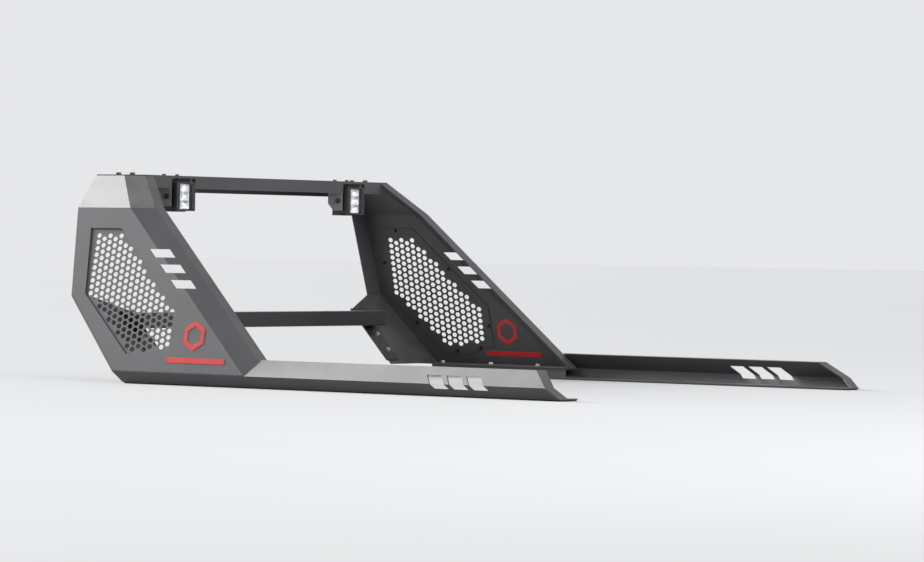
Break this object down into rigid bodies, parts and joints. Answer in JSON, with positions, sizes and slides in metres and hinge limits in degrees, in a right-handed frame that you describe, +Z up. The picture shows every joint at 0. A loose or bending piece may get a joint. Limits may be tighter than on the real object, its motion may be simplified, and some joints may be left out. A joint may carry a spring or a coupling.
{
  "type": "headache rack",
  "caption": "Pickup bed headache rack: folded side panels with perforated windows, full-length bed rails, hooded top crossbar with tilting lamps and a lower crossbar.",
  "frame": {"origin": "underside of the rail gaskets, midway between the rails and midway along the rack", "axes": "+X to the vehicle's right, +Y to its front (the hoop end), +Z up"},
  "size_m": [1.46, 1.68, 0.5718],
  "materials": {
    "powder_coated_steel": "fine-textured dark grey powder coat",
    "perforated_steel": "fine-textured dark grey powder coat",
    "satin_black_steel": "satin black powder coat",
    "bracket_steel": "satin grey powder coat",
    "gasket_rubber": "matt black EPDM",
    "zinc_fasteners": "bright zinc",
    "black_fasteners": "black oxide",
    "black_aluminium": "black anodised casting",
    "black_plastic": "fine-grained black nylon",
    "clear_lens": "clear polycarbonate",
    "mirror_reflector": "vacuum-metallised reflector",
    "led_board": "white solder mask with warm emitters",
    "red_enamel": "red enamel"
  },
  "bodies": {
    "rack": {"left_side_panel": "powder_coated_steel", "right_side_panel": "powder_coated_steel", "left_mesh_insert": "perforated_steel", "right_mesh_insert": "perforated_steel", "left_mesh_fasteners": "black_fasteners", "right_mesh_fasteners": "black_fasteners", "left_bed_rail": "powder_coated_steel", "right_bed_rail": "powder_coated_steel", "left_support_channel": "powder_coated_steel", "right_support_channel": "powder_coated_steel", "left_channel_rivets": "zinc_fasteners", "right_channel_rivets": "zinc_fasteners", "left_rail_gasket": "gasket_rubber", "right_rail_gasket": "gasket_rubber", "left_panel_bolts": "zinc_fasteners", "right_panel_bolts": "zinc_fasteners", "left_crossbar_leg": "satin_black_steel", "right_crossbar_leg": "satin_black_steel", "left_leg_bolts": "zinc_fasteners", "right_leg_bolts": "zinc_fasteners", "left_outer_emblem": "red_enamel", "right_outer_emblem": "red_enamel", "left_inner_emblem": "red_enamel", "right_inner_emblem": "red_enamel", "top_crossbar": "powder_coated_steel", "crossbar_bolts": "black_fasteners", "lower_crossbar": "satin_black_steel", "lamp_bracket_bolts": "black_fasteners", "left_lamp_bracket": "bracket_steel", "right_lamp_bracket": "bracket_steel"},
    "left_lamp": {"left_lamp_housing": "black_aluminium", "left_lamp_bezel": "black_plastic", "left_lamp_seal": "gasket_rubber", "left_lamp_lens": "clear_lens", "left_lamp_reflector": "mirror_reflector", "left_lamp_led_board": "led_board", "left_lamp_bezel_screws": "zinc_fasteners", "left_lamp_pivot_bolts": "black_fasteners", "left_lamp_cable_gland": "black_plastic"},
    "right_lamp": {"right_lamp_housing": "black_aluminium", "right_lamp_bezel": "black_plastic", "right_lamp_seal": "gasket_rubber", "right_lamp_lens": "clear_lens", "right_lamp_reflector": "mirror_reflector", "right_lamp_led_board": "led_board", "right_lamp_bezel_screws": "zinc_fasteners", "right_lamp_pivot_bolts": "black_fasteners", "right_lamp_cable_gland": "black_plastic"}
  },
  "joints": [
    {"name": "left_lamp_tilt", "type": "hinge", "parent": "rack", "child": "left_lamp", "pos_m": [-0.381, 0.704, 0.508], "axis": [1, 0, 0], "range_deg": [-12, 20]},
    {"name": "right_lamp_tilt", "type": "hinge", "parent": "rack", "child": "right_lamp", "pos_m": [0.381, 0.704, 0.508], "axis": [1, 0, 0], "range_deg": [-12, 20]}
  ]
}
